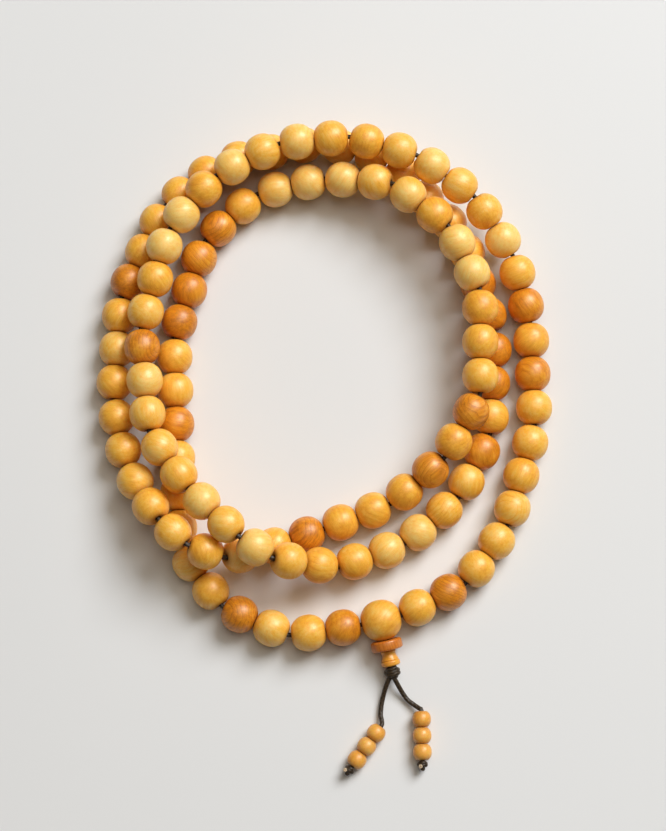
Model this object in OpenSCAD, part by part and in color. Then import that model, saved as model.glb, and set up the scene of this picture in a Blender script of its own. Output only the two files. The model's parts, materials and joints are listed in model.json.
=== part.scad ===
// Mala: a closed strand of 108 wooden beads on one cord, laid down in three overlapping turns,
// with a three-hole guru bead, a disc, a turned tower bead, a knot and two short beaded tails.
// The surface that it lies on is the plane z = 0. Lengths are in millimetres.

/* [Strand beads] */
// Diameter of a strand bead; the whole layout follows it
bead_d = 10; // [8:0.5:14]
// Length of a bead along its bore, as a share of its diameter
bead_length_share = 0.95; // [0.92:0.01:0.95]
// Bore of a strand bead, as a share of its diameter
bead_bore_share = 0.18; // [0.16:0.01:0.2]

/* [Guru bead, disc and tower bead] */
// Diameter of the three-hole guru bead, in strand bead diameters
guru_share = 1.13; // [1.1:0.01:1.16]
// Diameter of the disc, in strand bead diameters
disc_share = 0.89; // [0.8:0.01:0.9]
// Thickness of the disc, in strand bead diameters
disc_thickness_share = 0.28; // [0.2:0.01:0.28]
// Height of the tower bead, in strand bead diameters
tower_height_share = 0.43; // [0.38:0.01:0.46]

/* [Cord and tails] */
// Diameter of the cord, in strand bead diameters
cord_share = 0.13; // [0.1:0.01:0.13]
// Diameter of a small tail bead, in strand bead diameters
tail_bead_share = 0.52; // [0.46:0.01:0.54]
// Length of a small tail bead along its bore, as a share of its own diameter
tail_bead_length_share = 0.84; // [0.8:0.01:0.9]

/* [Hidden] */
$fn = 48;
unit = bead_d / 10;                 // every route below is drawn for a 10 mm bead
bead_r = bead_d / 2;
bead_len = bead_d * bead_length_share;
bead_bore = bead_d * bead_bore_share;
bead_gap = 0.1 * unit;              // between neighbours in one straight run
pitch = bead_len + bead_gap;
cord_d = bead_d * cord_share;
cord_sides = 8;

guru_d = bead_d * guru_share;
guru_r = guru_d / 2;
guru_bore = 2 * unit;               // side holes, for one cord
tail_bore = 2.9 * unit;             // bottom hole, for both ends of the cord
guru_chamber = 5.2 * unit;          // the hollow where the three holes meet
chamber_top = 1.4 * unit;
chamber_depth = 3.4 * unit;
guru_pos = [15.8, -49.4, 5.65 * guru_share / 1.13] * unit;
guru_yaw = 13;                      // the strand's direction through the guru bead
guru_dip = 8.5;                     // the tail hole points this far below the horizontal
guru_length = guru_d * 0.965;       // between the flats round its side holes
guru_mouth = guru_length / 2 + 0.2 * unit; // where the strand leaves a side hole

disc_d = bead_d * disc_share;
disc_t = bead_d * disc_thickness_share;
disc_edge = 0.7 * unit;             // the rounding of its rim
tower_h = bead_d * tower_height_share;
tower_top_d = 4.2 * unit;
tower_waist_d = 3.8 * unit;
tower_foot_d = 5.2 * unit;
tower_ring_h = 1.5 * unit;          // the turned ring at its foot
tower_flare_d = tower_foot_d - 0.4 * unit;
knot_d = 4.4 * unit;
knot_len = 3 * unit;
stack_gap = 0.12 * unit;            // between the turning pieces below the guru bead
touch_gap = 0.05 * unit;            // between a cord's end and the knot that it goes into
leg_offset = 0.7 * unit;            // each end of the cord from the tail hole's axis
tail_offsets = [-1.7, 0.1] * unit;  // where the tails leave the knot, across from the same axis
profile_steps = 12;                 // along a turned outline

tail_bead_d = bead_d * tail_bead_share;
tail_bead_len = tail_bead_d * tail_bead_length_share;
tail_bead_bore = 1.7 * unit;
tail_pitch = tail_bead_len + bead_gap;
tail_bead_count = 3;
end_knot_d = 3 * unit;
end_knot_len = 2 * unit;
stub_len = 0.5 * unit;              // the cut end that stands out of an end knot
swing_gap = 0.65 * unit;            // lets a tail turn at the knot above it

// The cord's route around the three turns, from the guru bead's right side back to its left side.
ROUTE = [
    // first turn: up the right side
    [31.5, -45.5, 5], [43.5, -34.5, 5], [53, -19, 5], [58.5, 0, 5], [59, 22.5, 5], [57, 42.5, 5.5],
    // climbing over the second turn, and along it at the top
    [52, 56, 8.5], [46, 65, 11], [39, 72.5, 13], [30, 78.5, 14.5], [20, 83, 15],
    [9.5, 85.5, 15], [-2.5, 86, 15], [-13.5, 83.5, 15], [-24, 79, 14.5], [-33.5, 72, 14],
    // down the left side, in the groove between the second and third turns
    [-41.5, 62.5, 13.5], [-47.5, 49.5, 12.5], [-50.5, 35.5, 11.5], [-51.5, 20.5, 11.5], [-50.5, 8.5, 12],
    // over the third turn, then over the second, and down to the surface
    [-46, -2.5, 14.5], [-39, -12, 15.5], [-31.5, -19.5, 17.5], [-24.5, -26.5, 19.5], [-16.5, -32.5, 19],
    [-6.5, -35.5, 12.5], [4.5, -35, 7.5], [15.5, -31.5, 5],
    // second turn: up the right side
    [27, -25.5, 5], [37, -16, 5], [44.5, -4, 5], [48, 11, 5], [48.5, 26.5, 5], [46.5, 41.5, 5],
    // under the first turn at the top
    [42.5, 53, 5], [37, 63, 5], [29, 73, 5], [19, 81.5, 5], [8, 86, 5], [-3.5, 87.5, 5],
    [-15, 86, 5], [-26.5, 82.5, 5], [-36.5, 77, 5],
    // down the left side, outermost
    [-45.5, 68, 5], [-52, 56, 5], [-57, 42.5, 5], [-59, 27.5, 5], [-59, 13, 5], [-57, 0, 5],
    // over the third turn and under the first
    [-52.5, -12, 8.5], [-46, -21.5, 14], [-37.5, -29.5, 15.5], [-27, -33, 12.5], [-16, -29.5, 5],
    [-6.5, -25.5, 5], [6.5, -22.5, 5],
    // third turn: up the right side, on the second turn
    [17, -18, 5.5], [26, -12.5, 9], [33.5, -5, 12], [40, 3.5, 14], [43.5, 13, 14.5],
    [44.5, 25.5, 14.5], [44, 38.5, 15], [41, 50.5, 15], [34.5, 60.5, 15], [26, 69, 14.5],
    // off the second turn and round the top, innermost
    [16, 74, 12.5], [4.5, 75.5, 9], [-7.5, 75.5, 5.5], [-18, 72.5, 5],
    // down the left side and under both other turns
    [-28.5, 65.5, 5], [-36, 54, 5], [-40.5, 40.5, 5], [-42.5, 24.5, 5], [-42.5, 9, 5], [-41, -4, 5],
    [-40.5, -14, 5], [-40.5, -25, 5], [-37.5, -36, 5], [-29.5, -44.5, 5], [-18, -51, 5], [-5, -54, 5],
];

// How many beads each straight run holds, in order round the strand.
RUNS = [
    2, 2, 3, 3, 2, 2, 2, 2, 2, 2, 2, 3, 3, 2, 2, 1, 2,
    2, 2, 2, 3, 3, 3, 2, 3, 2, 3, 3, 2, 2, 1, 1, 1, 2,
    2, 2, 2, 3, 2, 2, 2, 2, 2, 3, 4, 2, 2, 2, 2,
];

// Each tail's cord, from the knot down to where its small beads begin, and their direction.
TAIL_LEFT = [[17, -67.8, 2.5], [16.4, -70, 1.6], [15.9, -72.5, 1.3], [15.7, -75, 1.4], [16, -76.8, 2]];
TAIL_LEFT_BEADS = [14.4, -80, tail_bead_d / unit / 2];
TAIL_LEFT_TURN = 234;
TAIL_RIGHT = [[20.5, -67, 2.6], [21.7, -69, 1.7], [23.1, -70.9, 1.3], [24.9, -72.3, 1.6], [26.3, -73.3, 2.2]];
TAIL_RIGHT_BEADS = [26.9, -76.2, tail_bead_d / unit / 2];
TAIL_RIGHT_TURN = 271;

// A point between p1 and p2 on the smooth curve through four neighbouring points.
function smooth(p0, p1, p2, p3, t) =
    0.5 * (2 * p1 + (p2 - p0) * t + (2 * p0 - 5 * p1 + 4 * p2 - p3) * t * t
    + (3 * p1 - p0 - 3 * p2 + p3) * t * t * t);

// Places on the guru bead's own axes: x along the strand, -y down the tail hole.
function guru_place(p) =
    let (y = p[1] * cos(guru_dip) - p[2] * sin(guru_dip),
         z = p[1] * sin(guru_dip) + p[2] * cos(guru_dip))
    guru_pos + [p[0] * cos(guru_yaw) - y * sin(guru_yaw), p[0] * sin(guru_yaw) + y * cos(guru_yaw), z];

// The strand leaves the guru bead at START and comes back to it at END.
START = guru_place([guru_mouth, 0, 0]);
END = guru_place([-guru_mouth, 0, 0]);
AHEAD = END - guru_place([-guru_mouth - 12 * unit, 0, 0]);

// The smooth route as closely spaced points, never lower than a bead on the surface allows.
// It runs straight on past END, so that a walk that comes out too long has somewhere to go.
steps = 8;
overrun = 5;
KNOTS = [START - AHEAD, START, for (p = ROUTE) p * unit, END, END + AHEAD];
spans = len(KNOTS) - 3;
PATH = [
    for (i = [1 : spans], j = [0 : steps - 1])
        let (p = smooth(KNOTS[i - 1], KNOTS[i], KNOTS[i + 1], KNOTS[i + 2], j / steps))
        [p[0], p[1], max(p[2], bead_r)],
    END,
    END + AHEAD * overrun,
];
end_index = spans * steps;

// Where a rod of the given length from q meets the segment from a to b.
function meet(a, b, q, rod) =
    let (d = b - a, m = a - q,
         h = (d * m) / (d * d),
         t = -h + sqrt(max(0, h * h - (m * m - rod * rod) / (d * d))))
    a + d * t;

// The first place on the path, from index k on, that is a rod's length from q: [index, place].
function reach(k, q, rod) =
    k == len(PATH) - 1 || norm(PATH[k] - q) >= rod ? [k, meet(PATH[k - 1], PATH[k], q, rod)]
    : reach(k + 1, q, rod);

// How far the strand turns at corner i of a layout, where the guru bead is the last neighbour.
function turn_at(layout, i) =
    let (before = i == 0 ? AHEAD : layout[i] - layout[i - 1],
         after = i == len(RUNS) ? AHEAD : layout[i + 1] - layout[i])
    acos(before * after / norm(before) / norm(after));

// From each corner to the middle of the next bead: so that the two beads there just meet at the
// turn that an earlier layout has, and the same slack everywhere.
function links(layout, slack) = [
    for (i = [0 : len(RUNS)])
        let (turn = layout == [] ? 0 : turn_at(layout, i))
        bead_len / 2 / pow(cos(turn / 2), 2) + slack
];

// Lays the runs end to end along the path, as [index, corner] pairs.
function walk(links, i = 0, k = 1, q = START) =
    i == len(RUNS) ? []
    : let (hit = reach(k, q, links[i] + (RUNS[i] - 1) * pitch + links[i + 1]))
      concat([hit], walk(links, i + 1, hit[0], hit[1]));

// Halves the interval until the last corner falls on END.
function closing_slack(layout, low, high, rounds) =
    let (middle = (low + high) / 2, last = walk(links(layout, middle))[len(RUNS) - 1])
    rounds == 0 ? middle
    : last[0] > end_index ? closing_slack(layout, low, middle, rounds - 1)
    : closing_slack(layout, middle, high, rounds - 1);

function fitted_links(layout) = links(layout, closing_slack(layout, -0.5 * unit, 1.5 * unit, 20));
function laid(links) = [START, for (hit = walk(links)) hit[1]];

// The first layout has the same links everywhere, and each later one fits them to the turns.
FIRST_LAYOUT = laid(fitted_links([]));
SECOND_LAYOUT = laid(fitted_links(FIRST_LAYOUT));
LINKS = fitted_links(SECOND_LAYOUT);
CORNERS = laid(LINKS);

// Places down the tail hole's axis, measured from the guru bead's centre.
guru_flat = guru_r * 0.96;
disc_at = guru_flat + stack_gap + disc_t / 2;
tower_at = disc_at + disc_t / 2 + stack_gap + tower_h / 2;
knot_at = tower_at + tower_h / 2 + stack_gap + knot_len / 2;
pivot_at = knot_at + knot_len / 2 + swing_gap;
PIVOT_LEFT = guru_place([tail_offsets[0], -pivot_at, 0]);
PIVOT_RIGHT = guru_place([tail_offsets[1], -pivot_at, 0]);

// One end of the cord: from the knot up the tail hole and out to the side that is +1 or -1.
function leg(side) = [
    for (p = [
        [leg_offset, -(knot_at - knot_len / 2 - touch_gap)],
        [0.7, -2.9] * unit, [0.8, -1.9] * unit, [1.3, -0.95] * unit,
        [2.1, -0.35] * unit, [3.1, -0.05] * unit,
    ]) guru_place([side * p[0], p[1], 0])
];

function reversed(points) = [for (i = [len(points) - 1 : -1 : 0]) points[i]];
function level(turn) = [cos(turn), sin(turn), 0];

MAIN_CORD_ROUTE = concat(leg(1), CORNERS, reversed(leg(-1)));

// A tail's cord ends at the face of its end knot.
function tail_cord_route(pivot, points, first_bead, turn) = concat(
    [pivot],
    [for (p = points) p * unit],
    [for (k = [-0.5 : 1 : tail_bead_count - 0.5]) first_bead * unit + level(turn) * tail_pitch * k]);

// Stands its children on p, with their z axis along d.
module along(p, d) {
    translate(p)
    rotate([0, acos(d[2] / norm(d)), atan2(d[1], d[0])])
    children();
}

// A round cord through the points, with one ring of corners at each.
module cord(points, d) {
    last = len(points) - 1;
    rings = [
        for (i = [0 : last], s = [0 : cord_sides - 1])
            let (before = i == 0 ? points[1] - points[0] : points[i] - points[i - 1],
                 after = i == last ? before : points[i + 1] - points[i],
                 way = before / norm(before) + after / norm(after),
                 side = cross(way, [0, 0, 1]) / norm(cross(way, [0, 0, 1])),
                 rise = cross(side, way) / norm(way),
                 a = 360 * s / cord_sides)
            points[i] + (side * cos(a) + rise * sin(a)) * d / 2
    ];
    walls = [
        for (i = [0 : last - 1], s = [0 : cord_sides - 1])
            let (t = (s + 1) % cord_sides, low = i * cord_sides, high = low + cord_sides)
            [low + s, low + t, high + t, high + s]
    ];
    first_end = [for (s = [cord_sides - 1 : -1 : 0]) s];
    last_end = [for (s = [0 : cord_sides - 1]) last * cord_sides + s];
    polyhedron(rings, concat(walls, [first_end, last_end]), convexity = 10);
}

// A wooden ball drilled along z, with flats where the drill went in and out.
module drilled_ball(d, length, bore) {
    difference() {
        intersection() {
            sphere(d = d);
            cylinder(d = d * 2, h = length, center = true);
        }
        cylinder(d = bore, h = d * 2, center = true);
    }
}

// A turned solid along z: its radius is given at the low end, the middle and the high end.
module turned(low_r, middle_r, high_r, length) {
    function radius(t) = t < 0
        ? middle_r + (low_r - middle_r) * t * t
        : middle_r + (high_r - middle_r) * t * t;
    rotate_extrude()
    polygon([
        [0, -length / 2],
        for (i = [-profile_steps : profile_steps])
            [radius(i / profile_steps), i / profile_steps * length / 2],
        [0, length / 2],
    ]);
}

function run_name(i) = str("strand_beads_", i < 9 ? "0" : "", i + 1);

// One straight run of strand beads between two corners of the cord.
module strand_beads(i) {
    way = CORNERS[i + 1] - CORNERS[i];
    step = way / norm(way);
    color("goldenrod")
    for (k = [0 : RUNS[i] - 1])
        along(CORNERS[i] + step * (LINKS[i] + k * pitch), step)
        drilled_ball(bead_d, bead_len, bead_bore);
}

module main_cord() {
    color([0.12, 0.09, 0.07])
    cord(MAIN_CORD_ROUTE, cord_d);
}

module at_guru() {
    translate(guru_pos)
    rotate([0, 0, guru_yaw])
    rotate([guru_dip, 0, 0])
    children();
}

module guru_bead() {
    color("darkgoldenrod")
    at_guru()
    difference() {
        rotate([0, 90, 0])
        drilled_ball(guru_d, guru_length, guru_bore);
        rotate([90, 0, 0])
        cylinder(d = tail_bore, h = guru_d);
        translate([0, chamber_top, 0])
        rotate([90, 0, 0])
        cylinder(d = guru_chamber, h = chamber_depth);
        translate([-guru_d, -guru_flat - guru_d, -guru_d])
        cube([guru_d * 2, guru_d, guru_d * 2]);
    }
}

// The pieces below the guru bead stand on its tail hole's axis.
module down_the_tail(distance) {
    at_guru()
    translate([0, -distance, 0])
    rotate([90, 0, 0])
    children();
}

// A round rim with the middle of its section at r and z.
module rim(r, z, d) {
    rotate_extrude()
    translate([r, z])
    circle(d = d);
}

module guru_disc() {
    edge_r = disc_d / 2 - disc_edge;
    edge_z = disc_t / 2 - disc_edge;
    color("chocolate")
    down_the_tail(disc_at)
    difference() {
        union() {
            cylinder(r = edge_r, h = disc_t, center = true);
            cylinder(d = disc_d, h = edge_z * 2, center = true);
            rim(edge_r, edge_z, disc_edge * 2);
            rim(edge_r, -edge_z, disc_edge * 2);
        }
        cylinder(d = tail_bore, h = disc_t * 2, center = true);
    }
}

module tower_bead() {
    ring_z = (tower_h - tower_ring_h) / 2;
    ring_r = (tower_foot_d - tower_ring_h) / 2;
    color("peru")
    down_the_tail(tower_at)
    difference() {
        union() {
            translate([0, 0, -tower_ring_h / 2])
            turned(tower_top_d / 2, tower_waist_d / 2, tower_flare_d / 2, tower_h - tower_ring_h);
            translate([0, 0, ring_z])
            cylinder(r = ring_r, h = tower_ring_h, center = true);
            rim(ring_r, ring_z, tower_ring_h);
        }
        cylinder(d = tail_bore, h = tower_h * 2, center = true);
    }
}

module guru_knot() {
    color([0.12, 0.09, 0.07])
    down_the_tail(knot_at)
    turned(knot_d * 0.36, knot_d / 2, knot_d * 0.36, knot_len);
}

module tail_cord(pivot, points, first_bead, turn) {
    color([0.12, 0.09, 0.07])
    cord(tail_cord_route(pivot, points, first_bead, turn), cord_d);
}

module tail_beads(first_bead, turn) {
    color("sandybrown")
    for (k = [0 : tail_bead_count - 1])
        along(first_bead * unit + level(turn) * tail_pitch * k, level(turn))
        drilled_ball(tail_bead_d, tail_bead_len, tail_bead_bore);
}

module end_knot(first_bead, turn) {
    knot_middle = tail_pitch * (tail_bead_count - 0.5) + touch_gap + end_knot_len / 2;
    color([0.12, 0.09, 0.07])
    along(first_bead * unit + level(turn) * knot_middle, level(turn))
    union() {
        turned(end_knot_d * 0.36, end_knot_d / 2, end_knot_d * 0.3, end_knot_len);
        cylinder(d = cord_d, h = end_knot_len / 2 + stub_len);
    }
}

main_cord();
guru_bead();
guru_disc();
tower_bead();
guru_knot();
tail_cord(PIVOT_LEFT, TAIL_LEFT, TAIL_LEFT_BEADS, TAIL_LEFT_TURN);  // tail_cord_left
tail_beads(TAIL_LEFT_BEADS, TAIL_LEFT_TURN);  // tail_beads_left
end_knot(TAIL_LEFT_BEADS, TAIL_LEFT_TURN);  // end_knot_left
tail_cord(PIVOT_RIGHT, TAIL_RIGHT, TAIL_RIGHT_BEADS, TAIL_RIGHT_TURN);  // tail_cord_right
tail_beads(TAIL_RIGHT_BEADS, TAIL_RIGHT_TURN);  // tail_beads_right
end_knot(TAIL_RIGHT_BEADS, TAIL_RIGHT_TURN);  // end_knot_right
for (i = [0 : len(RUNS) - 1])
    strand_beads(i);
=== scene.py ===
"""The looks of the mala: turned wooden beads, waxed cord and knots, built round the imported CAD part.

Every length is in metres unless its name ends in _mm.
"""

import json
import math
import random

import bmesh
import bpy
import numpy as np
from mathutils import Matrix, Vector


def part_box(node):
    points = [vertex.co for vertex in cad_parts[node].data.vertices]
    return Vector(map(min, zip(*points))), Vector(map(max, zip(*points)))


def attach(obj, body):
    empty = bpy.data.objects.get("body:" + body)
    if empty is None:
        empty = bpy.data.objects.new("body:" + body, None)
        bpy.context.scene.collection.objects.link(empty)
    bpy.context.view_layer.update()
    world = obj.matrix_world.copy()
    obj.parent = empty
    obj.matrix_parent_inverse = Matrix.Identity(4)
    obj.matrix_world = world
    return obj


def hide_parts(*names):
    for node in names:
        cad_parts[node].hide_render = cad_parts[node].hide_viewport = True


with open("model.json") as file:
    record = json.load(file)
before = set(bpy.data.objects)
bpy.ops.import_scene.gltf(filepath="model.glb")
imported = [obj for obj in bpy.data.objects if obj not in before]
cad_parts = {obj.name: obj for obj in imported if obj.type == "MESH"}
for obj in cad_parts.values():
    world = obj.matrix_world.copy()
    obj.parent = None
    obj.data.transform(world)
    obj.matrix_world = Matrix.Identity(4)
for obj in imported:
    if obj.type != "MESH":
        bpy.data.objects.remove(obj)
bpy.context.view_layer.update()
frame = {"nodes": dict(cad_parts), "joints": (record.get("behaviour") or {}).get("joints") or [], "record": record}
JOINTS = {joint["child"]: joint for joint in frame["joints"]}
PIECES_PER_NODE = frame["record"]["physics"]["collision_pieces"]

# The part's own sizes.
BEAD_D = 0.0100
BEAD_LENGTH = 0.0095
BEAD_PITCH = 0.0096
BEAD_BORE = 0.0018
BEAD_SWELL = 1.015  # how much wider than its CAD solid a bead may be turned
BEAD_FULLNESS = 2.15  # 2 is a true ball, and more is fuller towards the flats
BEAD_LIP, BEAD_EDGE = 0.03, 0.035  # the rounding of its bore's mouth and of its flat, in diameters
# RIM_REACH sets how far the painted shade round a bead's bore reaches, where the beads touch.
RIM_REACH = 1.75  # how far out the darker rim round the bore goes, in radii of the flat
LEAST_WIDTH, LEAST_LENGTH = 0.988, 0.995  # of a strand bead, as shares of its full size
CORD_D = 0.0013
TAIL_BEAD_D = 0.0052
TAIL_BEAD_LENGTH = TAIL_BEAD_D * 0.84
TAIL_BEAD_PITCH = TAIL_BEAD_LENGTH + 0.0001
TAIL_BEAD_BORE = 0.0017
TAIL_BEADS = 3
TAIL_LEAST_WIDTH, TAIL_LEAST_LENGTH = 0.97, 0.98  # of a tail bead, as shares of its full size
DISC_D, DISC_THICKNESS = 0.0089, 0.0028
TOWER_TOP_D, TOWER_WAIST_D, TOWER_FOOT_D, TOWER_HEIGHT = 0.0042, 0.0038, 0.0052, 0.0043
TOWER_RING = 0.0015  # height of the turned ring at its foot
TAIL_HOLE = 0.0029
GURU_SIDE_HOLE = 0.0020
GURU_SIDE_FLAT = 0.965  # how far out the flats round the side holes lie, in radii
GURU_FOOT_FLAT = 0.96  # and the flat round its tail hole
TAIL_HOLE_START = -0.0002  # down from the guru bead's middle, so just above it
KNOT_D, KNOT_LENGTH = 0.0044, 0.0030
END_KNOT_D, END_KNOT_LENGTH = 0.0030, 0.0020
KNOT_GAP = 0.00005  # the second half of the gap between a tail's last bead and its end knot
STUB_LENGTH = 0.0005
# Where each tail's cut end is, from its end knot's middle.
CUT_ENDS = {"left": (-0.0012, -0.0001, 0.0011), "right": (-0.0006, -0.0006, 0.0012)}
CORE_FIBRES = 7  # one in the middle of a cut end and the others round it
FIBRE_D, FIBRE_RING = 0.00044, 0.00037
FIBRE_LENGTHS = (0.0003, 0.0005)  # the least and the most
CUT_MERGE = 0.000004  # corners closer than this after a cut become one

# The route of each end of the main cord inside the guru bead, as the part has it: out from the
# tail hole's axis, and down it.
LEG = [(0.0007, 0.01283), (0.0007, 0.0029), (0.0008, 0.0019), (0.0013, 0.00095), (0.0021, 0.00035),
       (0.0031, 0.00005)]
GURU_MOUTH_GAP = 0.0002  # from a side flat to where the strand's route starts
MOUTH_DEPTH = 0.0006  # how far inside a bore the cord begins to bend

# The tails' routes from the knot to their small beads, as the part has them.
TAIL_ROUTES = {
    "left": [(0.0170, -0.0678, 0.0025), (0.0164, -0.0700, 0.0016), (0.0159, -0.0725, 0.0013),
             (0.0157, -0.0750, 0.0014), (0.0160, -0.0768, 0.0020)],
    "right": [(0.0205, -0.0670, 0.0026), (0.0217, -0.0690, 0.0017), (0.0231, -0.0709, 0.0013),
              (0.0249, -0.0723, 0.0016), (0.0263, -0.0733, 0.0022)],
}

# Beads by their number round the strand, from the guru bead's right side.
DEEP_BEADS = {2, 9, 11, 28, 43, 45, 46, 47, 48, 62, 74, 78, 80, 93, 94, 95, 96, 99, 105, 108}
PALE_BEADS = {13, 16, 20, 22, 24, 25, 29, 33, 35, 39, 40, 72, 84, 85, 87, 89, 90, 91}
RINGED_BEADS = {2, 5, 28, 41, 74, 78, 80, 93, 94, 105}
TIGHT_BEADS = {18, 34, 53, 71}  # these all but touch another turn

# How deep the wood is, from 0 for the palest to 1: the least and the most of each kind.
DEEP_TONES, PALE_TONES, USUAL_TONES = (0.62, 0.78), (0.08, 0.18), (0.24, 0.42)
TAIL_TONES = {"left": (0.2, 0.5), "right": (0.38, 0.62)}
# How clearly the year rings show, from 0 to 1, in a bead that isn't ringed.
FAINT_RINGS = (0.1, 0.55)

# How finely the shapes are drawn.
BEAD_SIDES, TURNED_SIDES = 40, 56
BALL_POINTS, LIP_POINTS = 18, 5
MAIN_CORD_SIDES, TAIL_CORD_SIDES, FIBRE_SIDES = 12, 14, 8
CORD_STEP, KNOT_STEP, STUB_STEP, STRAIGHT_STEP = 0.0004, 0.0003, 0.0002, 0.003
KNOT_STEPS_A_TURN = 18

SEED = 108
chance = random.Random(SEED)


# ---------------------------------------------------------------- camera

TARGET = Vector((0.0026, 0.0077, 0.006))
CAMERA_ELEVATION = 80
CAMERA_DISTANCE = 0.62
VIEW_HEIGHT = 0.232  # what the picture shows at the target


def put_in_scene(name, data):
    """A new object with that mesh, lamp or camera."""
    item = bpy.data.objects.new(name, data)
    bpy.context.scene.collection.objects.link(item)
    return item


def make_camera():
    data = bpy.data.cameras.new("camera")
    camera = put_in_scene("camera", data)
    bpy.context.scene.camera = camera
    elevation = math.radians(CAMERA_ELEVATION)
    back = Vector((0, -math.cos(elevation), math.sin(elevation)))
    camera.location = TARGET + back * CAMERA_DISTANCE
    camera.rotation_euler = (-back).to_track_quat("-Z", "Y").to_euler()
    data.lens = data.sensor_width * CAMERA_DISTANCE / VIEW_HEIGHT
    data.clip_start, data.clip_end = 0.01, 20


# ---------------------------------------------------------------- meshes

def unit(v):
    """The same direction with a length of 1."""
    v = np.asarray(v, float)
    return v / np.linalg.norm(v)


def axes_along(direction):
    """Three unit rows: across, across and along the direction."""
    along = unit(direction)
    side = unit(np.cross([0, 0, 1], along)) if abs(along[2]) < 0.99 else np.array([1.0, 0, 0])
    return np.array([side, np.cross(along, side), along])


def turned(profile, sides):
    """Vertices and faces of a closed outline of (radius, height) turned about z."""
    profile = np.asarray(profile)
    angles = np.arange(sides) * 2 * math.pi / sides
    ring = np.stack([np.cos(angles), np.sin(angles)], 1)
    rows = len(profile)
    points = np.zeros((rows, sides, 3))
    points[:, :, :2] = profile[:, None, :1] * ring
    points[:, :, 2] = profile[:, 1:]
    faces = []
    for i in range(rows):
        here, above = i * sides, (i + 1) % rows * sides
        for k in range(sides):
            beside = (k + 1) % sides
            faces.append((here + k, here + beside, above + beside, above + k))
    return points.reshape(-1, 3), faces


def arc(centre, radius, start, end, steps):
    """Points on an arc, in degrees from the radius axis."""
    angles = np.radians(np.linspace(start, end, steps))
    return [(centre[0] + radius * math.cos(a), centre[1] + radius * math.sin(a)) for a in angles]


def flat_radius(diameter, length):
    """How far the flat round a bead's bore reaches from the axis."""
    return ((diameter / 2) ** BEAD_FULLNESS - (length / 2) ** BEAD_FULLNESS) ** (1 / BEAD_FULLNESS)


def ball_profile(diameter, length, bore):
    """A drilled ball's outline, from the lower mouth of its bore over its outside to the upper one."""
    radius, half = diameter / 2, length / 2
    lip, edge = diameter * BEAD_LIP, diameter * BEAD_EDGE
    flat = flat_radius(diameter, length)
    upper = []
    for a in np.linspace(0, math.atan2(half, flat) - edge / radius, BALL_POINTS):
        fullness = math.cos(a) ** BEAD_FULLNESS + math.sin(a) ** BEAD_FULLNESS
        reach = radius / fullness ** (1 / BEAD_FULLNESS)
        upper.append((reach * math.cos(a), reach * math.sin(a)))
    upper.append((flat + edge * 0.15, half - edge * 0.16))
    upper.append((flat - edge * 0.5, half - edge * 0.02))
    upper += arc((bore / 2 + lip, half - lip), lip, 90, 180, LIP_POINTS)
    lower = [(r, -z) for r, z in reversed(upper[1:])]
    return lower + upper


def smooth_curve(points, spacing):
    """A smooth curve through the points, with about that spacing between its own."""
    points = np.asarray(points, float)
    padded = np.vstack([2 * points[0] - points[1], points, 2 * points[-1] - points[-2]])
    curve = []
    for i in range(1, len(padded) - 2):
        p0, p1, p2, p3 = padded[i - 1:i + 3]
        steps = max(2, round(np.linalg.norm(p2 - p1) / spacing))
        for t in np.arange(steps) / steps:
            curve.append(0.5 * (2 * p1 + (p2 - p0) * t + (2 * p0 - 5 * p1 + 4 * p2 - p3) * t ** 2
                                + (3 * p1 - p0 - 3 * p2 + p3) * t ** 3))
    return np.array(curve + [points[-1]])


def tube(path, radius, sides=TAIL_CORD_SIDES, rounded=True):
    """Vertices, faces and each vertex's (turn, distance) of a round tube along the path."""
    path = np.asarray(path, float)
    tangents = np.gradient(path, axis=0)
    tangents /= np.linalg.norm(tangents, axis=1)[:, None]
    distance = np.concatenate([[0], np.cumsum(np.linalg.norm(np.diff(path, axis=0), axis=1))])
    rings = [(path[i], tangents[i], 1.0, distance[i]) for i in range(len(path))]
    if rounded:
        cap = [(math.sin(a), math.cos(a)) for a in np.radians([20, 45, 70])]
        first = [(path[0] - tangents[0] * radius * c, tangents[0], s, -radius * c) for s, c in cap]
        last = [(path[-1] + tangents[-1] * radius * c, tangents[-1], s, distance[-1] + radius * c)
                for s, c in reversed(cap)]
        rings = first + rings + last
    side = axes_along(rings[0][1])[0]
    points, turns = [], []
    for centre, tangent, share, along in rings:
        side = unit(side - tangent * (side @ tangent))
        other = np.cross(tangent, side)
        for k in range(sides):
            a = 2 * math.pi * k / sides
            points.append(centre + (side * math.cos(a) + other * math.sin(a)) * radius * share)
            turns.append((a, along, 0.0))
    faces = []
    for here in range(0, (len(rings) - 1) * sides, sides):
        for k in range(sides):
            beside = (k + 1) % sides
            faces.append((here + k, here + beside, here + sides + beside, here + sides + k))
    faces.append(tuple(range(sides - 1, -1, -1)))
    faces.append(tuple(range(len(points) - sides, len(points))))
    return np.array(points), faces, np.array(turns)


def paint(mesh, name, values):
    """Stores one number or one vector for each vertex."""
    values = np.asarray(values, np.float32)
    kind = "FLOAT_VECTOR" if values.ndim == 2 else "FLOAT"
    layer = mesh.attributes.new(name, kind, "POINT")
    layer.data.foreach_set("vector" if values.ndim == 2 else "value", values.ravel())


def add_piece(name, points, faces, body, material):
    """A smooth piece that moves with that body of the frame."""
    mesh = bpy.data.meshes.new(name)
    mesh.from_pydata([tuple(p) for p in points], [], faces)
    mesh.validate()
    mesh.materials.append(material)
    mesh.polygons.foreach_set("use_smooth", [True] * len(mesh.polygons))
    piece = put_in_scene(name, mesh)
    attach(piece, body)
    return piece


def add_cord(name, points, faces, turns, body, material):
    """A piece made of tubes, with each vertex's (turn, distance) stored for the braid."""
    piece = add_piece(name, points, faces, body, material)
    paint(piece.data, "braid", turns * (1, 1000, 1))
    return piece


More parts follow.
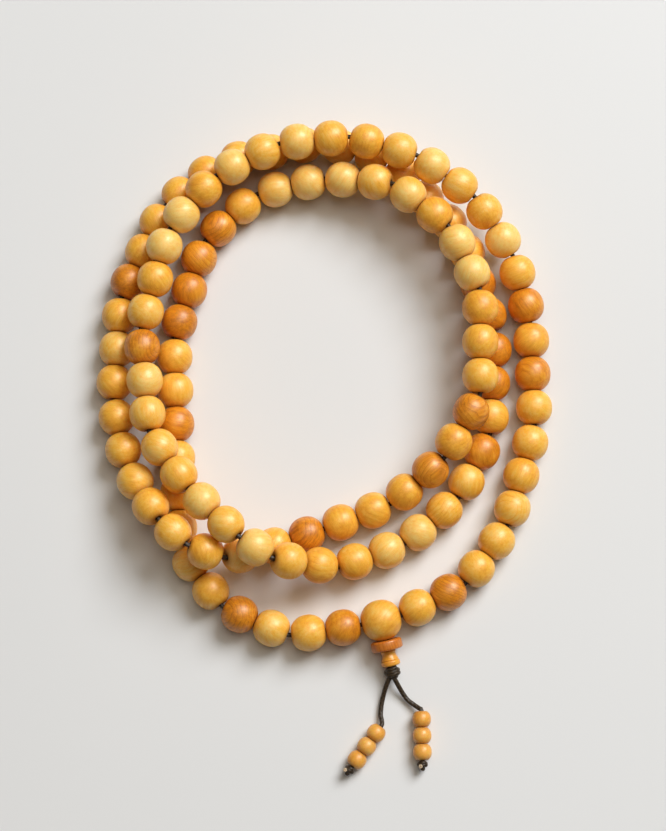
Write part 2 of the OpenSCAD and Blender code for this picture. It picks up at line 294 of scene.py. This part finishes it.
def joined(tubes):
    """Several tubes as one."""
    faces, offset = [], 0
    for points, own_faces, _ in tubes:
        faces += [tuple(v + offset for v in face) for face in own_faces]
        offset += len(points)
    return np.vstack([points for points, _, _ in tubes]), faces, np.vstack([turns for _, _, turns in tubes])


# ---------------------------------------------------------------- materials

class Nodes:
    """A short way to write a node tree."""

    def __init__(self, name):
        self.material = bpy.data.materials.new(name)
        self.material.use_nodes = True
        self.tree = self.material.node_tree
        self.shader = self.tree.nodes["Principled BSDF"]

    def add(self, kind, inputs=(), **settings):
        node = self.tree.nodes.new(kind)
        for key, value in settings.items():
            setattr(node, key, value)
        for key, value in dict(inputs).items():
            if isinstance(value, bpy.types.NodeSocket):
                self.tree.links.new(value, node.inputs[key])
            else:
                node.inputs[key].default_value = value
        return node

    def math(self, operation, a, b=0.0, clamp=False):
        return self.add("ShaderNodeMath", {0: a, 1: b}, operation=operation, use_clamp=clamp).outputs[0]

    def attribute(self, name, output="Fac"):
        return self.add("ShaderNodeAttribute", attribute_name=name).outputs[output]

    def stretched(self, vector, scale):
        node = self.add("ShaderNodeVectorMath", {0: vector, 1: scale}, operation="MULTIPLY")
        return node.outputs[0]

    def noise(self, vector, scale=1.0, detail=2.0, roughness=0.5):
        return self.add("ShaderNodeTexNoise", {
            "Vector": vector, "Scale": scale, "Detail": detail, "Roughness": roughness}).outputs["Fac"]

    def ramp(self, value, stops, interpolation="EASE"):
        node = self.add("ShaderNodeValToRGB", {"Fac": value})
        node.color_ramp.interpolation = interpolation
        elements = node.color_ramp.elements
        while len(elements) < len(stops):
            elements.new(0.5)
        for element, (position, colour) in zip(elements, stops):
            element.position = position
            element.color = (*colour, 1)
        return node.outputs["Color"]

    def mix(self, share, a, b, blend="MIX"):
        node = self.add("ShaderNodeMix", {0: share, 6: a, 7: b}, data_type="RGBA", blend_type=blend)
        return node.outputs[2]

    def set(self, **sockets):
        """Sets the shader's sockets, with _ for a space in a name."""
        for key, value in sockets.items():
            socket = self.shader.inputs[key.replace("_", " ")]
            if isinstance(value, bpy.types.NodeSocket):
                self.tree.links.new(value, socket)
            else:
                socket.default_value = value


def grey(value):
    return (value, value, value)


def wood(name, colours, roughness, gloss, ring_mm=1.3, ring_share=0.22):
    """Polished wood. Its grain runs along z of the stored grain vector, which is in millimetres.

    colours go from the palest wood to the deepest. ring_mm is how far apart the year rings are, and
    ring_share how much deeper they make the wood.
    """
    pore_share, contact_shade_share, worn_share = 0.35, 0.9, 0.22
    n = Nodes(name)
    grain = n.attribute("grain", "Vector")
    tone = n.attribute("tone")
    rings_seen = n.attribute("rings")
    rim = n.attribute("rim")

    warp = n.noise(n.stretched(grain, (1, 1, 0.3)), scale=0.14, detail=1.0)
    across = n.add("ShaderNodeVectorMath", {0: n.stretched(grain, (1, 1, 0))}, operation="LENGTH")
    age = n.math("ADD", across.outputs["Value"], n.math("MULTIPLY", warp, 3.0))
    spread = n.math("MULTIPLY", n.noise(grain, scale=0.35, detail=1.0), 0.8)
    year = n.math("FRACT", n.math("ADD", n.math("DIVIDE", age, ring_mm), spread))
    rings = n.ramp(year, [(0.0, grey(0.25)), (0.62, grey(0.45)), (0.86, grey(1.0)), (1.0, grey(0.25))])

    fibre = n.noise(n.stretched(grain, (5.5, 5.5, 0.55)), detail=3.0, roughness=0.6)
    streak = n.noise(n.stretched(grain, (1.2, 1.2, 0.11)))
    cloud = n.noise(grain, scale=0.16)
    pores = n.noise(n.stretched(grain, (11, 11, 1.3)), detail=1.0)
    pores = n.ramp(pores, [(0.0, grey(1.0)), (0.30, grey(1.0)), (0.40, grey(0.0)), (1.0, grey(0.0))])

    depth = n.math("MULTIPLY", n.math("SUBTRACT", rings, 0.45), n.math("MULTIPLY", rings_seen, ring_share))
    for mottle, share in ((fibre, 0.45), (streak, 0.5), (cloud, 0.5)):
        depth = n.math("ADD", depth, n.math("MULTIPLY", n.math("SUBTRACT", mottle, 0.5), share))
    depth = n.math("ADD", depth, tone, clamp=True)
    stops = [(i / (len(colours) - 1), c) for i, c in enumerate(colours)]
    colour = n.ramp(depth, stops, "LINEAR")
    darker = n.mix(1.0, colour, (0.55, 0.38, 0.25, 1), "MULTIPLY")
    colour = n.mix(n.math("MULTIPLY", pores, pore_share), colour, darker)
    # Painted shade: the wood darkens towards the rim round the bore, where the beads touch, in place of the shade
    # that falls between them.
    contact_shaded = n.mix(1.0, colour, (0.36, 0.22, 0.12, 1), "MULTIPLY")
    colour = n.mix(n.math("MULTIPLY", rim, contact_shade_share), colour, contact_shaded)

    worn = n.math("MULTIPLY", n.math("SUBTRACT", streak, 0.5), worn_share)
    worn = n.math("ADD", worn, n.math("MULTIPLY", rim, worn_share))
    worn = n.math("ADD", worn, roughness)
    height = n.math("SUBTRACT", n.math("MULTIPLY", fibre, 0.5), n.math("MULTIPLY", pores, 0.6))
    bump = n.add("ShaderNodeBump", {"Strength": 0.22, "Distance": 0.00006, "Height": height})
    n.set(Base_Color=colour, Roughness=worn, Normal=bump.outputs[0], Specular_IOR_Level=gloss,
          Specular_Tint=(1.0, 0.88, 0.74, 1), Coat_Weight=0.08, Coat_Roughness=0.22,
          Subsurface_Weight=0.22, Subsurface_Scale=0.0018, Subsurface_Radius=(1.0, 0.36, 0.06))
    return n.material


def waxed_cord():
    """Dark round braid under wax. The stored braid vector is the turn round the cord in radians and
    the distance along it in millimetres."""
    n = Nodes("waxed_cord")
    parts = n.add("ShaderNodeSeparateXYZ", {0: n.attribute("braid", "Vector")})
    turn, along = parts.outputs[0], parts.outputs[1]
    strands, lay_mm = 4, 1.5
    pitch = 2 * math.pi / lay_mm
    lean = n.math("MULTIPLY", along, pitch)
    turn = n.math("MULTIPLY", turn, strands)
    one_way = n.math("SINE", n.math("ADD", turn, lean))
    other_way = n.math("SINE", n.math("SUBTRACT", turn, lean))
    plait = n.math("MAXIMUM", one_way, other_way)
    fuzz = n.noise(n.attribute("braid", "Vector"), scale=6.0, detail=3.0, roughness=0.65)
    height = n.math("ADD", n.math("MULTIPLY", plait, 0.5), n.math("MULTIPLY", fuzz, 0.35))
    # Painted shade and light on the braid: the colour is darker in the grooves between strands and lighter on
    # their raised crowns.
    shade = n.math("ADD", n.math("MULTIPLY", height, 0.55), 0.25, clamp=True)
    colour = n.ramp(shade, [(0.0, (0.011, 0.006, 0.003)), (0.5, (0.042, 0.025, 0.011)),
                            (1.0, (0.100, 0.064, 0.032))])
    roughness = n.math("ADD", n.math("MULTIPLY", fuzz, 0.3), 0.26)
    bump = n.add("ShaderNodeBump", {"Strength": 0.5, "Distance": 0.00012, "Height": height})
    n.set(Base_Color=colour, Roughness=roughness, Normal=bump.outputs[0], Specular_IOR_Level=0.4)
    return n.material


def cord_core():
    """The pale fibres inside the cord, seen at a cut end."""
    n = Nodes("cord_core")
    parts = n.attribute("braid", "Vector")
    fibre = n.noise(n.stretched(parts, (2.5, 0.8, 1)), scale=3.0, detail=3.0, roughness=0.6)
    colour = n.ramp(fibre, [(0.2, (0.36, 0.24, 0.13)), (0.5, (0.72, 0.55, 0.36)), (0.8, (0.88, 0.74, 0.55))])
    bump = n.add("ShaderNodeBump", {"Strength": 0.6, "Distance": 0.00008, "Height": fibre})
    roughness = n.math("ADD", n.math("MULTIPLY", fibre, 0.2), 0.7)
    n.set(Base_Color=colour, Roughness=roughness, Normal=bump.outputs[0])
    return n.material


def pale_floor():
    """The plain pale surface that the mala lies on."""
    n = Nodes("pale_floor")
    position = n.add("ShaderNodeTexCoord").outputs["Object"]
    mottle = n.noise(position, scale=3.0)
    n.set(Base_Color=n.ramp(mottle, [(0.3, grey(0.74)), (0.7, grey(0.765))]), Roughness=0.65)
    return n.material


BOXWOOD = wood("boxwood", [(0.99, 0.655, 0.195), (0.96, 0.485, 0.050), (0.75, 0.265, 0.010),
                           (0.40, 0.105, 0.003)], roughness=0.40, gloss=0.85, ring_mm=0.95)
GURU_WOOD = wood("guru_wood", [(0.99, 0.65, 0.18), (0.94, 0.47, 0.050), (0.74, 0.26, 0.012),
                               (0.40, 0.105, 0.004)], roughness=0.43, gloss=0.8)
RED_WOOD = wood("red_wood", [(0.76, 0.27, 0.030), (0.56, 0.155, 0.011), (0.30, 0.065, 0.004)],
                roughness=0.34, gloss=0.8, ring_mm=0.9, ring_share=0.4)
BROWN_WOOD = wood("brown_wood", [(0.90, 0.44, 0.060), (0.78, 0.31, 0.026), (0.48, 0.14, 0.007)],
                  roughness=0.32, gloss=0.8, ring_mm=0.8)
PALE_WOOD = wood("pale_wood", [(0.98, 0.60, 0.16), (0.88, 0.41, 0.060), (0.62, 0.21, 0.016)],
                 roughness=0.36, gloss=0.8, ring_mm=0.9)
CORD = waxed_cord()
CORE = cord_core()


# ---------------------------------------------------------------- the strand's shape

def guru_axes():
    """The guru bead's centre and radius, its tail hole's axis, and the strand's way through it."""
    low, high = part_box("guru_bead")
    radius = (high.z - low.z) / 2
    centre = np.array([(low.x + high.x) / 2, high.y - radius, (low.z + high.z) / 2])
    tail = unit(JOINTS["guru_disc"]["axis"])
    return centre, radius, tail, unit(np.cross([0, 0, 1], tail))


GURU_CENTRE, GURU_RADIUS, TAIL_AXIS, STRAND_AXIS = guru_axes()
RUNS = sorted(name for name in frame["nodes"] if name.startswith("strand_beads_"))


def run_line(node):
    """The middle of a straight run of beads, its direction, and how many beads it has."""
    joint = JOINTS[node]
    return np.array(joint["pos_m"]), unit(joint["axis"]), PIECES_PER_NODE[node]


def main_cord_path():
    """The cord's centreline: up one side of the tail hole, round the strand and back."""
    def leg(side):
        return [GURU_CENTRE + STRAND_AXIS * out * side + TAIL_AXIS * down for out, down in LEG]

    inside = GURU_RADIUS * GURU_SIDE_FLAT + GURU_MOUTH_GAP - MOUTH_DEPTH
    leaving, returning = GURU_CENTRE + STRAND_AXIS * inside, GURU_CENTRE - STRAND_AXIS * inside
    path = list(smooth_curve(leg(1) + [leaving], CORD_STEP)[:-1])
    ends = []
    for node in RUNS:
        middle, way, beads = run_line(node)
        reach = ((beads - 1) * BEAD_PITCH + BEAD_LENGTH) / 2 - MOUTH_DEPTH
        ends.append((middle - way * reach, middle + way * reach, way))
    bend_points = 5
    before, way_before = leaving, STRAND_AXIS
    for start, end, way in ends + [(returning, None, STRAND_AXIS)]:
        reach = np.linalg.norm(start - before) / 2
        corner = (before + way_before * reach + start - way * reach) / 2
        for t in np.linspace(0, 1, bend_points):
            path.append(before * (1 - t) ** 2 + corner * 2 * t * (1 - t) + start * t * t)
        if end is None:
            break
        count = max(2, round(np.linalg.norm(end - start) / STRAIGHT_STEP))
        path += [start + (end - start) * k / count for k in range(1, count)]
        before, way_before = end, way
    return np.vstack([path, smooth_curve([returning] + leg(-1)[::-1], CORD_STEP)[1:]])


def make_main_cord():
    """The one long cord that every bead of the strand is on."""
    path = main_cord_path()
    points, faces, turns = tube(path, CORD_D / 2, MAIN_CORD_SIDES, rounded=False)
    piece = add_cord("main_cord_braid", points, faces, turns, "strand", CORD)
    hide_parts("main_cord")


# ---------------------------------------------------------------- beads

def paint_wood(piece, points, tone, rings, rim):
    """Gives a wooden piece its own cut from the plank: a direction and a place in the grain."""
    across_mm, along_mm = 22, 50
    turn = np.array([[chance.gauss(0, 1) for _ in range(3)] for _ in range(3)])
    turn, _ = np.linalg.qr(turn)
    place = np.array([chance.uniform(0.4, 1) * across_mm, chance.uniform(-1, 1) * across_mm,
                      chance.uniform(-1, 1) * along_mm])
    grain = (points - points.mean(0)) * 1000 @ turn + place
    paint(piece.data, "grain", grain)
    paint(piece.data, "tone", np.full(len(points), tone))
    paint(piece.data, "rings", np.full(len(points), rings))
    paint(piece.data, "rim", rim)


def make_bead(name, centre, axis, body, size, material, tone, rings):
    """A drilled bead of that (diameter, length, bore), whose rim of painted shade, where it touches its
    neighbours, goes from 1 at the bore to 0.
    """
    diameter, length, bore = size
    points, faces = turned(ball_profile(diameter, length, bore), BEAD_SIDES)
    from_axis = np.hypot(points[:, 0], points[:, 1])
    # The rim is painted shade where the beads touch; it also makes the wood rougher there.
    rim_end = flat_radius(diameter, length) * RIM_REACH
    rim = np.clip(1 - (from_axis - bore / 2) / (rim_end - bore / 2), 0, 1)
    points = points @ axes_along(axis) + centre
    piece = add_piece(name, points, faces, body, material)
    paint_wood(piece, points, tone, rings, rim)
    return piece


def strand_tone(number):
    """How deep the wood of that bead is."""
    if number in DEEP_BEADS:
        return chance.uniform(*DEEP_TONES)
    if number in PALE_BEADS:
        return chance.uniform(*PALE_TONES)
    return chance.uniform(*USUAL_TONES)


def make_strand():
    """All 108 beads, run by run, each a little different in size, wood and rings."""
    number = 0
    for node in RUNS:
        middle, way, beads = run_line(node)
        for k in range(beads):
            number += 1
            swell = 1.0 if number in TIGHT_BEADS else BEAD_SWELL
            diameter = BEAD_D * swell * chance.uniform(LEAST_WIDTH, 1)
            size = (diameter, BEAD_LENGTH * chance.uniform(LEAST_LENGTH, 1), BEAD_BORE)
            rings = 1.0 if number in RINGED_BEADS else chance.uniform(*FAINT_RINGS)
            centre = middle + way * (k - (beads - 1) / 2) * BEAD_PITCH
            piece = make_bead(f"bead_{number:03}", centre, way, node, size, BOXWOOD,
                              strand_tone(number), rings)
        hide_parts(node)


def cut(piece, points, faces):
    """Takes a closed shape out of a piece, and merges the slivers the cut leaves."""
    mesh = bpy.data.meshes.new("cutter")
    mesh.from_pydata([tuple(p) for p in points], [], faces)
    cutter = put_in_scene("cutter", mesh)
    change = piece.modifiers.new("cut", "BOOLEAN")
    change.operation, change.solver, change.object = "DIFFERENCE", "EXACT", cutter
    graph = bpy.context.evaluated_depsgraph_get()
    made = bpy.data.meshes.new_from_object(
        piece.evaluated_get(graph), preserve_all_data_layers=True, depsgraph=graph)
    piece.modifiers.clear()
    shape = bmesh.new()
    shape.from_mesh(made)
    bmesh.ops.remove_doubles(shape, verts=shape.verts, dist=CUT_MERGE)
    shape.to_mesh(made)
    shape.free()
    old, made.name = piece.data, piece.data.name
    piece.data = made
    bpy.data.meshes.remove(old)
    bpy.data.objects.remove(cutter)
    bpy.data.meshes.remove(mesh)


def make_guru_bead():
    """A bead with a tail hole and a flat round that hole for the disc. One cutter makes both."""
    diameter = GURU_RADIUS * 2
    size = (diameter, diameter * GURU_SIDE_FLAT, GURU_SIDE_HOLE)
    piece = make_bead("guru_ball", GURU_CENTRE, STRAND_AXIS, "strand", size, GURU_WOOD,
                      tone=0.34, rings=0.2)
    hole, flat = TAIL_HOLE / 2, GURU_RADIUS * GURU_FOOT_FLAT
    outside = flat * 1.4
    outline = [(hole, TAIL_HOLE_START), (hole, flat), (GURU_RADIUS, flat), (GURU_RADIUS, outside)]
    points, faces = turned(outline, BEAD_SIDES)
    first, last = range(BEAD_SIDES), range(len(points) - BEAD_SIDES, len(points))
    solid = faces[:-BEAD_SIDES] + [tuple(first)[::-1], tuple(last)]
    cut(piece, points @ axes_along(TAIL_AXIS) + GURU_CENTRE, solid)
    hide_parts("guru_bead")


def make_disc():
    """A thick washer with rounded edges."""
    half, hole = DISC_THICKNESS / 2, TAIL_HOLE / 2
    edge, lip = DISC_THICKNESS * 0.24, 0.0003
    edge_centre = DISC_D / 2 - 0.0001 - edge
    outline = arc((hole + lip, -half + lip), lip, 180, 270, LIP_POINTS)
    outline += arc((edge_centre, -half + edge), edge, 270, 352, 9)
    outline += arc((edge_centre, half - edge), edge, 8, 90, 9)
    outline += arc((hole + lip, half - lip), lip, 90, 180, LIP_POINTS)
    make_tail_piece("disc_washer", outline, "guru_disc", RED_WOOD, tone=0.42, rings=1.0)


def make_tower():
    """A little stupa: a neck that narrows to a waist and flares to a foot, with turned steps."""
    half, hole = TOWER_HEIGHT / 2, TAIL_HOLE / 2
    top, waist, foot = TOWER_TOP_D / 2, TOWER_WAIST_D / 2, TOWER_FOOT_D / 2
    lip, edge, brim, shoulder, base = 0.0002, 0.0003, 0.00012, 0.0004, 0.0005
    neck, groove = -half * 0.5, half - TOWER_RING
    flare, flare_end, brim_centre = foot - 0.0002, groove - 0.0003, (foot - 0.0003, groove - 0.00022)
    outline = arc((hole + lip, -half + lip), lip, 180, 270, 4)
    outline += arc((top - edge, -half + edge), edge, 270, 350, 6)
    for t in np.linspace(0.1, 1, 6):
        taper = math.sin(t * math.pi / 2)
        outline.append((top + (waist - top) * taper, -half + edge + t * (neck + half - edge)))
    for t in np.linspace(0.1, 1, 10):
        outline.append((waist + (flare - waist) * t ** 1.7, neck + t * (flare_end - neck)))
    outline += arc(brim_centre, brim, 0, 60, 3)
    outline.append((foot - shoulder, groove))
    outline += arc((foot - shoulder, groove + shoulder), shoulder, 290, 360, 5)
    outline += arc((foot - base, half - base), base, 0, 90, 7)
    outline += arc((hole + lip, half - lip), lip, 90, 180, 4)
    make_tail_piece("tower_stupa", outline, "tower_bead", BROWN_WOOD, tone=0.35, rings=0.8)


def make_tail_piece(name, outline, node, material, tone, rings):
    """A turned piece on the tail hole's axis, in place of the CAD node of that name."""
    rim_width = 0.0006
    points, faces = turned(outline, TURNED_SIDES)
    from_axis = np.hypot(points[:, 0], points[:, 1])
    # The rim is painted shade round the tail hole, where this piece touches the next; it also makes the wood
    # rougher there.
    rim = np.clip(1 - (from_axis - TAIL_HOLE / 2) / rim_width, 0, 1)
    points = points @ axes_along(JOINTS[node]["axis"]) + np.array(JOINTS[node]["pos_m"])
    piece = add_piece(name, points, faces, node, material)
    paint_wood(piece, points, tone, rings, rim)
    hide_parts(node)


# ---------------------------------------------------------------- knots and tails

def wraps(centre, axis, radius, length):
    """The centreline of a cord wound round an axis and crossing back over its own turns."""
    turns, start, cross_over = 2.2, 1.1, 1.9
    end = start + turns * 2 * math.pi
    across, other, along = axes_along(axis)

    def wound(angle, reach, height):
        way_out = across * math.cos(angle) + other * math.sin(angle)
        return centre + way_out * radius * reach + along * height * length

    path = []
    for t in np.linspace(0, 1, round(turns * KNOT_STEPS_A_TURN)):
        a = start + t * (end - start)
        path.append(wound(a, 1 + 0.05 * math.sin(a * 1.5), t - 0.5))
    for t in np.linspace(0.1, 1, 10):
        path.append(wound(end + t * cross_over, 1 + 0.22 * math.sin(t * math.pi), 0.5 - t))
    return np.array(path)


def make_knot(name, centre, axis, diameter, length, body, node):
    """Wraps of cord pulled tight round a solid core."""
    radius = CORD_D / 2 * 0.96
    core_radius = diameter / 2 - radius * 1.2
    wound = wraps(centre, axis, diameter / 2 - radius * 1.15, length - radius * 2.1)
    reach = unit(axis) * (length / 2 - radius)
    core = [centre - reach, centre + reach]
    tubes = [tube(smooth_curve(wound, KNOT_STEP), radius), tube(smooth_curve(core, KNOT_STEP), core_radius)]
    piece = add_cord(name, *joined(tubes), body, CORD)
    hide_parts(node)
    return piece


def make_guru_knot():
    """The knot under the tower bead, and the start of each tail, which doesn't swing."""
    low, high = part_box("guru_knot")
    centre = np.array((low + high) / 2)
    make_knot("guru_knot_wraps", centre, TAIL_AXIS, KNOT_D, KNOT_LENGTH, "strand", "guru_knot")
    for side in TAIL_ROUTES:
        pivot = np.array(JOINTS["tail_" + side]["pos_m"])
        path = smooth_curve([centre + (pivot - centre) * 0.3, pivot], STUB_STEP)
        add_cord("tail_root_" + side, *tube(path, CORD_D / 2), "strand", CORD)


def make_tail(side):
    """A tail's small beads, end knot, cord and cut end, from the knot under the tower outwards."""
    beads_node = "tail_beads_" + side
    body = "tail_" + side
    joint = JOINTS[beads_node]
    first, way = np.array(joint["pos_m"]), unit(joint["axis"])
    for k in range(TAIL_BEADS):
        diameter = TAIL_BEAD_D * chance.uniform(TAIL_LEAST_WIDTH, 1)
        size = (diameter, TAIL_BEAD_LENGTH * chance.uniform(TAIL_LEAST_LENGTH, 1), TAIL_BEAD_BORE)
        make_bead(f"tail_bead_{side}_{k + 1}", first + way * k * TAIL_BEAD_PITCH, way,
                               beads_node, size, PALE_WOOD,
                               tone=chance.uniform(*TAIL_TONES[side]), rings=0.7)
    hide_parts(beads_node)

    beads_end = TAIL_BEAD_PITCH * (TAIL_BEADS - 0.5)
    knot_centre = first + way * (beads_end + KNOT_GAP + END_KNOT_LENGTH / 2)
    knot = make_knot("end_knot_wraps_" + side, knot_centre, way, END_KNOT_D, END_KNOT_LENGTH, body,
                     "end_knot_" + side)

    pivot = JOINTS[body]["pos_m"]
    far_end = knot_centre + way * (END_KNOT_LENGTH / 2 + STUB_LENGTH / 2)
    straight = [first + way * TAIL_BEAD_PITCH * k for k in np.arange(-0.5, TAIL_BEADS)]
    path = smooth_curve([pivot, *TAIL_ROUTES[side], *straight, far_end], CORD_STEP)
    piece = add_cord("tail_braid_" + side, *tube(path, CORD_D / 2), body, CORD)
    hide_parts("tail_cord_" + side)
    cut_end = make_cut_end(side, knot_centre, body)


def make_cut_end(side, knot_centre, body):
    """The cord's end, which comes out of the end knot's side, and the pale fibres in its cut."""
    end = knot_centre + np.array(CUT_ENDS[side])
    path = smooth_curve([knot_centre, (knot_centre + end) / 2, end], STUB_STEP)
    sheath = add_cord("cut_end_" + side, *tube(path, CORD_D / 2, rounded=False), body, CORD)
    across, other, along = axes_along(np.array(CUT_ENDS[side]) * (0.6, 0.6, 1))
    rooted = 0.0002
    fibres = []
    for k in range(CORE_FIBRES):
        a = k * 2 * math.pi / (CORE_FIBRES - 1)
        r = 0 if k == CORE_FIBRES - 1 else FIBRE_RING
        foot = end - along * rooted + (across * math.cos(a) + other * math.sin(a)) * r
        tip = foot + along * chance.uniform(*FIBRE_LENGTHS)
        path = smooth_curve([foot, (foot + tip) / 2, tip], STUB_STEP)
        fibres.append(tube(path, FIBRE_D / 2, FIBRE_SIDES))
    core = add_cord("cord_core_" + side, *joined(fibres), body, CORE)
    return sheath, core


# ---------------------------------------------------------------- studio

def make_floor():
    size = 4.0
    corners = [(-size, -size, 0), (size, -size, 0), (size, size, 0), (-size, size, 0)]
    mesh = bpy.data.meshes.new("floor")
    mesh.from_pydata(corners, [], [(0, 1, 2, 3)])
    mesh.materials.append(pale_floor())
    put_in_scene("floor", mesh)


LAMP_DISTANCE = 2.0


def soft_box(name, direction, width, watts, colour):
    """A round lamp that faces the mala from that direction."""
    data = bpy.data.lights.new(name, "AREA")
    data.shape, data.size, data.energy, data.color = "DISK", width, watts, colour
    light = put_in_scene(name, data)
    way = Vector(direction).normalized()
    light.location = way * LAMP_DISTANCE
    light.rotation_euler = way.to_track_quat("Z", "Y").to_euler()


def make_light():
    soft_box("key", (0.45, 0.51, 0.72), width=1.2, watts=42.0, colour=(0.95, 0.975, 1.0))
    soft_box("top", (0.1, 0.2, 1.0), width=1.4, watts=11.0, colour=(1.0, 0.90, 0.74))
    soft_box("fill", (-0.7, -0.35, 0.8), width=1.5, watts=1.2, colour=(1.0, 0.78, 0.52))
    world = bpy.data.worlds.new("studio")
    world.use_nodes = True
    background = world.node_tree.nodes["Background"]
    background.inputs["Color"].default_value = (0.93, 0.96, 1.0, 1)
    background.inputs["Strength"].default_value = 0.06
    bpy.context.scene.world = world
    bpy.context.scene.view_settings.view_transform = "Standard"


make_camera()
make_main_cord()
for tail_side in TAIL_ROUTES:
    make_tail(tail_side)
make_strand()
make_guru_bead()
make_disc()
make_tower()
make_guru_knot()
make_floor()
make_light()
